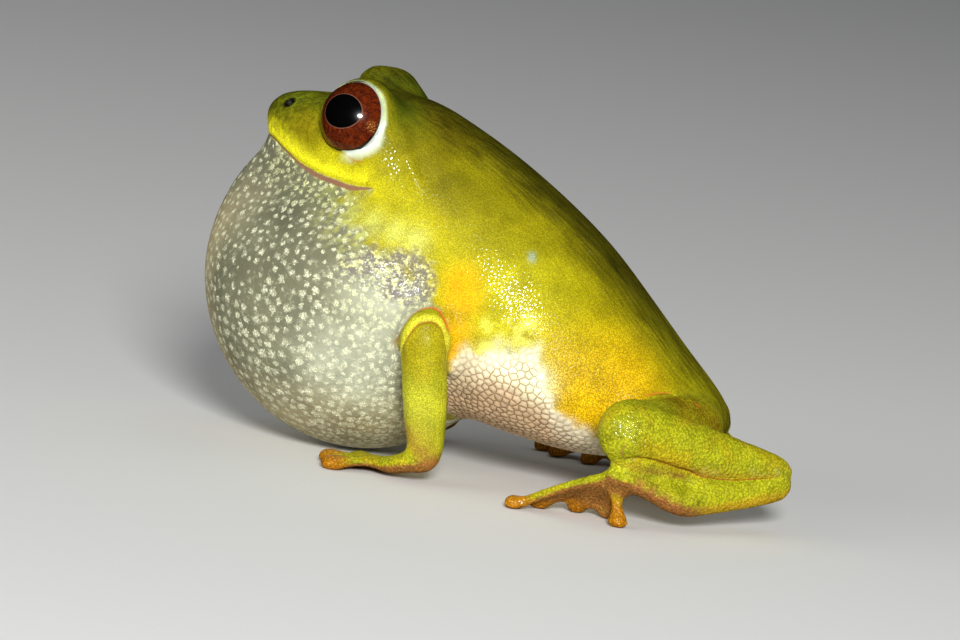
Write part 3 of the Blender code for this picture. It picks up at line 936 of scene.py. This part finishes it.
# %% The belly's grains
GRAIN = 0.28  # the least way from grain to grain
GRAIN_HEIGHT, GRAIN_SINK = 0.045, 0.02  # a grain's dome, and how deep its border lies


def nearest_two(spots, seeds):
    """The nearest and the next nearest seed of each spot."""
    out = np.zeros((len(spots), 2), int)
    for part in np.array_split(np.arange(len(spots)), max(1, len(spots) // 1500)):
        away = ((spots[part][:, None] - seeds[None]) ** 2).sum(2)
        pair = np.argpartition(away, 1, axis=1)[:, :2]
        first, second = np.take_along_axis(away, pair, 1).T
        out[part] = np.where((first > second)[:, None], pair[:, ::-1], pair)
    return out


def to_border(spots, pair, seeds):
    """How far spots lie from the border between two seeds; over 0 on the first's side."""
    first, second = seeds[pair[:, 0]], seeds[pair[:, 1]]
    gap = ((spots - second) ** 2).sum(1) - ((spots - first) ** 2).sum(1)
    return gap / (2 * np.maximum(lengths(first - second), 1e-6))


grained = np.where(belly > LEAST_SHARE)[0]
seeds = points[scattered(belly, np.full(len(points), GRAIN))]
for _ in range(3):  # evens the grains out, as in a packed skin
    home = nearest_two(points[grained], seeds)[:, 0]
    total = np.stack([np.bincount(home, points[grained, k], len(seeds)) for k in range(3)], 1)
    count = np.bincount(home, minlength=len(seeds))[:, None]
    seeds = np.where(count > 0, total / np.maximum(count, 1), seeds)
border = to_border(points[grained], nearest_two(points[grained], seeds), seeds)
rise = np.zeros(len(points))
rise[grained] = (GRAIN_HEIGHT * np.sqrt(ramp(border, 0, 0.16)) - GRAIN_SINK) * belly[grained]
points = points + normal * rise[:, None]
x, y, z = points.T
print("grains:", len(seeds))

# %% Maps of clusters and grains
set_points(skin, points / MM)  # the shape is done, and comes to metres
skin.polygons.foreach_set("use_smooth", [True] * len(skin.polygons))
FAR_OFF = 9.0  # what a map says away from its marks


def face_corners(mesh):
    """The point at each face corner, the face of each corner, and the middle of each face."""
    corner = read(mesh.loops, "vertex_index", 1, int)[:, 0]
    starts = read(mesh.polygons, "loop_start", 1, int)[:, 0]
    face = np.repeat(np.arange(len(starts)), np.diff(np.append(starts, len(corner))))
    return corner, face, np.add.reduceat(points[corner], starts) / np.bincount(face)[:, None]


corner, face, face_middle = face_corners(skin)


def store(layer, what, values):
    layer.data.foreach_set(what, np.ascontiguousarray(values, np.float32).ravel())


def homes(share, seeds):
    """The corners with enough of a share, and the two seeds nearest to the face of each."""
    near = np.where(share[corner] > LEAST_SHARE)[0]
    faces, back = np.unique(face[near], return_inverse=True)
    return near, nearest_two(face_middle[faces], seeds)[back]


def cluster_map():
    """For each corner, how it lies from its face's nearest cluster, in the cluster's radius."""
    where = np.full((len(corner), 2), FAR_OFF)
    near, pair = homes(sac, points[clusters])
    home = clusters[pair[:, 0]]
    out, up = points[corner[near]] - points[home], normal[home]
    first = np.cross(up, (0.3, 1.0, 0.2))
    first /= lengths(first)[:, None]
    second = np.cross(up, first)
    size = (0.10 + 0.12 * random.random(len(points))) * (1 - 0.25 * ramp(z, 5, 10))
    flat = np.stack([(out * first).sum(1), (out * second).sum(1)], 1)
    where[near] = flat / size[home][:, None]
    return where


def grain_map():
    """For each corner, how far it lies from its grain's border, and the grain's own shade."""
    where = np.tile((FAR_OFF, 0.5), (len(corner), 1))
    near, pair = homes(belly, seeds)
    where[near, 0] = to_border(points[corner[near]], pair, seeds)
    where[near, 1] = random.random(len(seeds))[pair[:, 0]]
    return where


store(skin.uv_layers.new(name="cluster"), "uv", cluster_map())
store(skin.uv_layers.new(name="grain"), "uv", grain_map())
print("face corners mapped:", len(corner))

# %% Coloured creases: orange and brown lines in the folds, and a painted shadow line at the knee
INK = {  # greatest width in mm, strength, colour
    "arm_outer": (0.11, 0.8, (0.62, 0.13, 0.02)),
    "arm_inner": (0.07, 0.7, (0.42, 0.12, 0.02)),
    "thigh_top": (0.09, 0.85, (0.60, 0.19, 0.02)),
    "shin": (0.04, 0.9, (0.30, 0.09, 0.01)),
    # the knee's line is a painted shadow where the shank's front lies over the flank
    "knee": (0.06, 0.5, (0.40, 0.16, 0.06)),
    "under_eye": (0.05, 0.7, (0.40, 0.19, 0.01)),
    "mouth": (0.17, 1.0, (0.25, 0.125, 0.07)),
}
LEAST_LIP = 0.05  # the least width of the lip's pink
OVER_SAC = (0.34, 0.20, 0.08)  # the outer arm's crease is brown here, and orange towards the flank


def crease_map():
    """For each corner, the offset from a coloured crease in its widths, and its strength."""
    where = np.tile((FAR_OFF, 0.0), (len(corner), 1))
    ink = np.zeros((len(points), 3))
    for name, side in lines:
        if name not in INK:
            continue
        width, strength, colour = INK[name]
        near, offset, along = by_line[name, side]
        ends = ramp(along, 0, 0.12) * ramp(along, 1, 0.88)
        tint = np.tile(colour, (len(near), 1))
        if name == "mouth":  # the pink of the lower lip, widest near the corner
            middle = ramp(along, 0.8, 0.25) * ramp(along, 0.0, 0.14)
            width = LEAST_LIP + (width - LEAST_LIP) * middle
            offset = offset - width
            ends = ramp(along, 0, 0.01)
        if name == "thigh_top":  # seen along the skin, so drawn wider behind
            width = width + 0.12 * ramp(along, 0.35, 0.6)
        if name == "arm_outer":
            behind = ramp(along, 0.45, 0.65)[:, None]
            tint = tint * behind + np.array(OVER_SAC) * (1 - behind)
        value, power = np.full(len(points), FAR_OFF), np.zeros(len(points))
        value[near] = offset / width
        power[near] = (np.abs(value[near]) < 6) * strength * ends
        power *= 1 - lids  # the pale lids stay clean
        closer = np.abs(value[corner]) < np.abs(where[:, 0])
        where[closer] = np.stack([value[corner], power[corner]], 1)[closer]
        inked = np.abs(offset / width) < 4
        ink[near[inked]] = tint[inked]
    return where, ink


creases, ink = crease_map()
store(skin.uv_layers.new(name="crease"), "uv", creases)
print("inked points:", int((ink.sum(1) > 0).sum()))

# %% What the material reads at each point


def fleck_colours():
    """Cream flecks, greener near the jaw and throat."""
    cream, green = np.array(COLOURS["fleck"]), np.array(COLOURS["green_fleck"])
    return cream + (green - cream) * (crowd * ramp(z, 5, 9))[:, None]


MARBLED = ("vocal_sac", (804, 55, 715), (859, 69, 678), (784, 37, 636), (843, 53, 620),
           (690, 45, 700), (630, 55, 660))
WET = (  # solid, share of its box, radius
    ("trunk", (130, 150, 830), 1.1), ("trunk", (440, 60, 520), 1.7),
    ("vocal_sac", (740, 30, 600), 1.4), ("shank_left", (100, 50, 600), 1.0),
    ("forearm_left", (500, 200, 300), 1.2), ("vocal_sac", (808, 58, 451), 0.6),
)


def wetness():
    """How thick the wet coat is: on the sac, the pads and some spots, not in the nostrils."""
    wet = np.maximum(0.35 * sac, 0.7 * pad_share)
    for name, share, radius in WET:
        wet = np.maximum(wet, bump_at(way_to(both_sides([on(name, *share)])), 0, radius))
    return wet - hollow


is_arm = spread(belongs(owner, "upper", "forearm"), edges, 4)
from_flank = lengths(np.abs(points) - np.abs(on("trunk", 690, 70, 220)))
VALUES = {
    "sac": sac,
    "belly": belly,
    "limb": is_limb * (1 - 0.75 * is_arm),
    "veins": ramp(way_to(both_sides(places([MARBLED]))), 1.5, 0.2) * (1 - is_limb),
    "low": ramp(below_belly_edge(points), 0.1, 1.5) * ramp(x, -6, -3),
    "ridge": ramp(from_ridge, 4.5, 1.5) * (1 - is_limb) * (1 - sac),
    "lids": lids,
    "grainy": bump_at(from_flank, 0, 3.6),
    "crowd": crowd,
    "wet": wetness(),
}
opaque = np.ones((len(points), 1))
for name, values in {"paint": paint, "fleck": fleck_colours(), "ink": ink}.items():
    layer = skin.color_attributes.new(name, "FLOAT_COLOR", "POINT")
    store(layer, "color", np.hstack([values, opaque]))
for name, values in VALUES.items():
    store(skin.attributes.new(name, "FLOAT", "POINT"), "value", values)
print({name: "%.2f to %.2f" % (values.min(), values.max()) for name, values in VALUES.items()})

# %% Finish the skin as a piece
skin.name = "frog_skin"
hide = put("frog_skin", skin)
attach(hide, "root")
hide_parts(*FLESH)
print("skin:", len(skin.vertices), "points")

# %% [markdown]
# ## Materials
#
# One node group holds all the fine marks of the skin, so that they run on without a break over
# head, sac and limbs. It gives a colour, a roughness, a share of wet coat and a height. Its
# noises and cells are counted in a metre, and its heights are in metres.

# %% A short way to write shader nodes


class Shader:
    """Adds nodes to a tree. A node's inputs are set by name, or by i and their number."""

    def __init__(self, tree):
        self.tree = tree

    def node(self, kind, settings=None, **inputs):
        new = self.tree.nodes.new("ShaderNode" + kind)
        for key, value in (settings or {}).items():
            setattr(new, key, value)
        for key, value in inputs.items():
            socket = new.inputs[int(key[1:]) if key[1:].isdigit() else key.replace("_", " ")]
            if isinstance(value, bpy.types.NodeSocket):
                self.tree.links.new(value, socket)
            else:
                socket.default_value = value
        return new

    def maths(self, operation, a, b=0.0, c=0.0):
        return self.node("Math", {"operation": operation}, i0=a, i1=b, i2=c).outputs[0]

    def times(self, a, b):
        return self.maths("MULTIPLY", a, b)

    def plus(self, a, b):
        return self.maths("ADD", a, b)

    def times_plus(self, a, b, c):
        return self.maths("MULTIPLY_ADD", a, b, c)

    def length(self, x, y):
        return self.maths("SQRT", self.plus(self.times(x, x), self.times(y, y)))

    def vector(self, operation, a, **more):
        return self.node("VectorMath", {"operation": operation}, i0=a, **more)

    def scaled(self, a, share):
        return self.vector("SCALE", a, Scale=share).outputs[0]

    def product(self, a, b):
        return self.vector("MULTIPLY", a, i1=b).outputs[0]

    def way(self, a, b):
        return self.vector("DISTANCE", a, i1=b).outputs["Value"]

    def joined(self, x, y, z=0.0):
        return self.node("CombineXYZ", X=x, Y=y, Z=z).outputs[0]

    def ramp(self, value, low, high, bottom=0.0, top=1.0):
        """Smooth from bottom at low to top at high."""
        return self.node(
            "MapRange", {"interpolation_type": "SMOOTHSTEP"},
            Value=value, From_Min=low, From_Max=high, To_Min=bottom, To_Max=top,
        ).outputs[0]

    def mix(self, share, a, b):
        return self.node("Mix", {"data_type": "RGBA"}, i0=share, i6=a, i7=b).outputs[2]

    def attribute(self, name, output="Fac"):
        return self.node("Attribute", {"attribute_name": name}).outputs[output]

    def uv(self, name):
        return self.node("UVMap", {"uv_map": name}).outputs["UV"]

    def uv_parts(self, name):
        return self.node("SeparateXYZ", Vector=self.uv(name)).outputs

    def place(self):
        return self.node("TexCoord").outputs["Object"]

    def cells(self, place, scale):
        return self.node(
            "TexVoronoi", {"feature": "F1"}, Vector=place, Scale=scale, Randomness=1.0
        ).outputs["Distance"]

    def noise(self, place, scale, detail=2.0, rough=0.5):
        return self.node(
            "TexNoise", Vector=place, Scale=scale, Detail=detail, Roughness=rough
        ).outputs["Fac"]

    def give(self, results):
        """Ends a node group with these outputs."""
        for label in results:
            kind = "NodeSocketColor" if label.endswith("Color") else "NodeSocketFloat"
            self.tree.interface.new_socket(label, in_out="OUTPUT", socket_type=kind)
        out = self.tree.nodes.new("NodeGroupOutput")
        for label, value in results.items():
            self.tree.links.new(value, out.inputs[label])


def group(name):
    return Shader(bpy.data.node_groups.new(name, "ShaderNodeTree"))


def material(name, settings, marks=None):
    """A surface with these settings, and with what a group of marks gives by the same names."""
    made = bpy.data.materials.new(name)
    made.use_nodes = True
    n = Shader(made.node_tree)
    surface = n.tree.nodes["Principled BSDF"].inputs
    for label, value in settings.items():
        surface[label].default_value = value
    if marks:
        marked = n.tree.nodes.new("ShaderNodeGroup")
        marked.node_tree = marks
        for output in marked.outputs:
            if output.name == "Height":
                bump = n.node("Bump", Height=output, Strength=1.0, Distance=1.0)
                n.tree.links.new(bump.outputs["Normal"], surface["Normal"])
                n.tree.links.new(bump.outputs["Normal"], surface["Coat Normal"])
            else:
                n.tree.links.new(output, surface[output.name])
    return made


# %% The skin's marks: dots, streaks and knobs
n = group("frog_marks")
place = n.place()
painted = n.attribute("paint", "Color")
limb_in = n.attribute("limb")
off_lids = n.ramp(n.attribute("lids"), 0.3, 0.0)
grit = n.times_plus(n.noise(place, 1100, 5, 0.75), 2.4, -1.2)
sac_in = n.ramp(n.times_plus(grit, 0.5, n.attribute("sac")), 0.35, 0.65)
belly_in = n.ramp(n.times_plus(grit, 0.5, n.attribute("belly")), 0.35, 0.65)

# gold dots on a duller ground, about a tenth of a millimetre apart
dots = n.ramp(n.cells(place, 15000), 0.62, 0.2)
wide = n.noise(place, 900, 3)
depth = n.times(n.times_plus(n.attribute("grainy"), 0.30, 0.42), off_lids)
shade = n.times_plus(n.maths("SUBTRACT", dots, 0.6), depth, 1.0)
shade = n.times(shade, n.ramp(wide, 0.25, 0.75, 0.86, 1.14))

# fine streaks along the back, in red and green alone
STREAK = (1 / 520, 1 / 5200, 1 / 4200)  # a streak's length, width and height
SLOPE = (0.0, 0.66, 0.0)  # the back's slope, as an angle
along = n.node("Mapping", {"vector_type": "TEXTURE"}, Vector=place, Rotation=SLOPE, Scale=STREAK)
streaks = n.node("TexNoise", Vector=along.outputs[0], Scale=1.0, Detail=4.0).outputs["Fac"]
streaked = n.times(shade, n.ramp(streaks, 0.36, 0.62, 0.62, 1.18))
on_back = n.joined(streaked, streaked, shade)
shade = n.mix(n.attribute("ridge"), n.joined(shade, shade, shade), on_back)

# small knobs on the limbs, their colour partly their own and partly painted shade between them
knobs = n.ramp(n.cells(place, 7200), 0.8, 0.05)
knob_tone_and_shade = n.plus(n.times(limb_in, n.ramp(knobs, 0.0, 0.6, -0.30, 0.06)), 1.0)
ground = n.product(painted, n.scaled(shade, knob_tone_and_shade))

# %% The skin's marks: grains of the belly, pale with thin brown edges
grain = n.uv_parts("grain")
grain_edge = n.maths("ABSOLUTE", grain["X"])
low_in = n.ramp(n.attribute("low"), 0.0, 1.0, 0.12, 1.0)
grain_line = n.times(n.ramp(grain_edge, 0.042, 0.006), low_in)
grain_tone = n.ramp(grain["Y"], 0.0, 1.0, 0.90, 1.08)
grain_tone = n.times(grain_tone, n.ramp(grain_edge, 0.0, 0.16, 0.86, 1.05))
brown = n.product(painted, (0.34, 0.20, 0.12))
grained = n.mix(n.times(grain_line, 0.85), n.scaled(painted, grain_tone), brown)
ground = n.mix(belly_in, ground, grained)

# %% The skin's marks: clusters of flecks on the sac
from_spot = n.vector("LENGTH", n.uv("cluster")).outputs["Value"]
torn = n.times_plus(n.noise(place, 6200, 4, 0.75), 4.4, -2.2)
in_spot = n.ramp(n.plus(from_spot, torn), 1.35, 0.65)
stray = n.ramp(n.noise(place, 2600, 3, 0.7), 0.52, 0.68)
in_crowd = n.times(n.times_plus(n.attribute("crowd"), 0.6, 0.40), stray)
specks = n.ramp(n.ramp(n.cells(place, 12000), 0.62, 0.25), 0, 1, 0.35, 1)
fleck_share = n.times(n.times(n.maths("MAXIMUM", in_spot, in_crowd), specks), sac_in)
fleck_share = n.times(fleck_share, n.ramp(n.noise(place, 1500, 2), 0.35, 0.6, 0.55, 0.95))
sac_shade = n.ramp(n.noise(place, 420, 4, 0.6), 0.3, 0.7, 0.82, 1.2)
ground = n.mix(sac_in, ground, n.scaled(painted, sac_shade))
ground = n.mix(fleck_share, ground, n.attribute("fleck", "Color"))

# grey and cream marbling where the sac runs into the shoulder
marble = n.ramp(n.noise(place, 3600, 5, 0.7), 0.49, 0.62)
marbled = n.mix(marble, (0.17, 0.15, 0.135, 1), (0.80, 0.80, 0.34, 1))
veins_in = n.ramp(n.times_plus(grit, 1.0, n.attribute("veins")), 0.30, 1.0, 0, 0.85)
ground = n.mix(veins_in, ground, marbled)

# %% The skin's marks: coloured creases, height and wet coat
crease = n.uv_parts("crease")
crease_line = n.times(n.ramp(n.maths("ABSOLUTE", crease["X"]), 1.0, 0.35), crease["Y"])
ground = n.mix(crease_line, ground, n.attribute("ink", "Color"))

# fine granules all over, wrinkles and knobs on the limbs, domed grains below, raised flecks
fine = n.times(n.times(n.ramp(n.cells(place, 5400), 0.7, 0.1), 0.000014), off_lids)
wrinkle = n.times_plus(n.noise(place, 2600, 3, 0.6), 0.00005, n.times(knobs, 0.00003))
wrinkle = n.times(wrinkle, n.times_plus(limb_in, 0.85, 0.15))
dome = n.times(n.ramp(grain_edge, 0.0, 0.12), n.times(belly_in, 0.000015))
height = n.plus(n.plus(fine, wrinkle), n.plus(dome, n.times(fleck_share, 0.000012)))
wet = n.plus(n.attribute("wet"), n.times(n.noise(place, 900, 3), 0.25))
n.give({
    "Base Color": ground,
    "Roughness": n.ramp(wide, 0.2, 0.8, 0.48, 0.58),
    "Coat Weight": n.ramp(wet, 0.1, 0.9, 0.06, 0.9),
    "Height": height,
})
print("nodes in the skin's marks:", len(n.tree.nodes))

# %% The skin's material: soft flesh under a thin wet coat
WET_SKIN = {
    "Subsurface Weight": 0.12, "Subsurface Radius": (1.0, 0.6, 0.3), "Subsurface Scale": 0.0004,
    "Specular IOR Level": 0.08, "Coat Roughness": 0.10, "Coat IOR": 1.4,
}
skin.materials.append(material("wet_skin", WET_SKIN, n.tree))
print("materials of the skin:", len(skin.materials))

# %% The eye's material
n = group("iris_marks")
iris = n.uv_parts("iris")
radius = n.length(iris["X"], iris["Y"])
# the pupil sits forward and high, and is a little wider than it is tall
x, y = n.plus(iris["X"], 0.175), n.maths("SUBTRACT", iris["Y"], 0.105)
pupil_at = n.length(n.maths("DIVIDE", x, 0.955), n.maths("DIVIDE", y, 0.81))
# red-brown fibres run outward from it, with a duller mottle, darker to the back
polar = n.joined(n.times(n.maths("ARCTAN2", y, x), 2.4), n.times(radius, 1.6))
fibres = n.ramp(n.noise(polar, 3.0, 4, 0.7), 0.35, 0.7)
red = n.mix(fibres, (0.04, 0.005, 0.002, 1), (0.135, 0.017, 0.002, 1))
mottle = n.ramp(n.noise(n.place(), 7500, 3, 0.7), 0.52, 0.72, 0, 0.25)
red = n.mix(mottle, red, (0.36, 0.09, 0.012, 1))
red = n.mix(n.ramp(iris["X"], 0.1, 1.5, 0, 0.75), red, (0.035, 0.008, 0.003, 1))
# a few gold sparks at the front edge, and a thin pale ring round the pupil
from_glow = n.way(n.joined(iris["X"], n.times(iris["Y"], 0.6)), (-1.54, -0.16, 0.0))
sparks = n.ramp(n.noise(n.place(), 19000, 2), 0.52, 0.66)
red = n.mix(n.times(sparks, n.ramp(from_glow, 0.25, 0.05)), red, (0.52, 0.24, 0.05, 1))
ring = n.ramp(n.maths("ABSOLUTE", n.maths("SUBTRACT", pupil_at, 1.03)), 0.022, 0.008)
red = n.mix(n.times(ring, 0.35), red, (0.40, 0.22, 0.16, 1))
eye_colour = n.mix(n.ramp(pupil_at, 1.03, 0.99), red, (0.001, 0.001, 0.001, 1))
# the iris ends in a black rim, and beyond it the ball is white
from_high = n.way(n.joined(iris["X"], iris["Y"]), (-0.05, 0.05, 0.0))
eye_colour = n.mix(n.ramp(from_high, 1.63, 1.67), eye_colour, (0.003, 0.003, 0.004, 1))
eye_colour = n.mix(n.ramp(radius, 1.70, 1.74), eye_colour, (0.70, 0.74, 0.66, 1))
n.give({"Base Color": eye_colour})

GLASS = {
    "Roughness": 0.25, "Specular IOR Level": 0.1,
    "Coat Weight": 0.5, "Coat Roughness": 0.02, "Coat IOR": 1.4,
}
glass_eye = material("glass_eye", GLASS, n.tree)
for ball in eyes:
    ball.data.materials.append(glass_eye)
print("nodes in the iris's marks:", len(n.tree.nodes))

# %% [markdown]
# ## Studio
#
# A pale floor, three soft lights and a camera with a long lens, close to the frog's own height.

# %% Floor, lights and camera
bm = bmesh.new()
bmesh.ops.create_grid(bm, x_segments=1, y_segments=1, size=4)
floor = put("floor", mesh_of("floor", bm))
floor.visible_glossy = False
pale_floor = material("pale_floor", {"Base Color": (0.78, 0.78, 0.76, 1), "Roughness": 0.8})
floor.data.materials.append(pale_floor)


def area_light(name, direction, distance, size, power, glossy=True):
    """A soft round light that shines at the frog's middle, in metres and watts."""
    data = bpy.data.lights.new(name, "AREA")
    data.shape = "DISK"
    data.size, data.energy = size, power
    light = put(name, data)
    toward = Vector(direction).normalized()
    light.location = Vector((0, 0, 0.008)) + toward * distance
    light.rotation_mode = "QUATERNION"
    light.rotation_quaternion = toward.to_track_quat("Z", "Y")
    light.visible_glossy = glossy


area_light("key", (0.29, -1.0, 0.40), 0.35, 0.08, 1.5)
area_light("fill", (-1.0, -0.7, 0.4), 0.40, 0.30, 0.45, glossy=False)
area_light("top", (0.2, 0.3, 1.0), 0.40, 0.30, 0.10, glossy=False)

world = bpy.data.worlds.new("studio")
world.use_nodes = True
sky = world.node_tree.nodes["Background"].inputs
sky["Color"].default_value, sky["Strength"].default_value = (0.9, 0.92, 0.95, 1), 0.18
world.cycles_visibility.glossy = False
bpy.context.scene.world = world
bpy.context.scene.view_settings.view_transform = "Standard"

AIM = Vector((-0.001254, -0.000651, 0.007252))  # what the camera looks at
AZIMUTH, ELEVATION, ROLL = (math.radians(a) for a in (11.356, 8.015, 7.52))
FAR = 0.25
data = bpy.data.cameras.new("camera")
data.lens, data.sensor_width = 197.78, 36
data.clip_start, data.clip_end = 0.01, 20
camera = put("camera", data)
level = Vector((math.cos(AZIMUTH), math.sin(AZIMUTH), 0))
flat = math.cos(ELEVATION)
back = Vector((math.sin(AZIMUTH) * flat, -math.cos(AZIMUTH) * flat, math.sin(ELEVATION)))
rising = back.cross(level)
right = level * math.cos(ROLL) + rising * math.sin(ROLL)
up = rising * math.cos(ROLL) - level * math.sin(ROLL)
camera.location = AIM + back * FAR
camera.rotation_mode = "QUATERNION"
camera.rotation_quaternion = Matrix((right, up, back)).transposed().to_quaternion()
bpy.context.scene.camera = camera
print("camera at", [round(x * MM, 1) for x in camera.location])
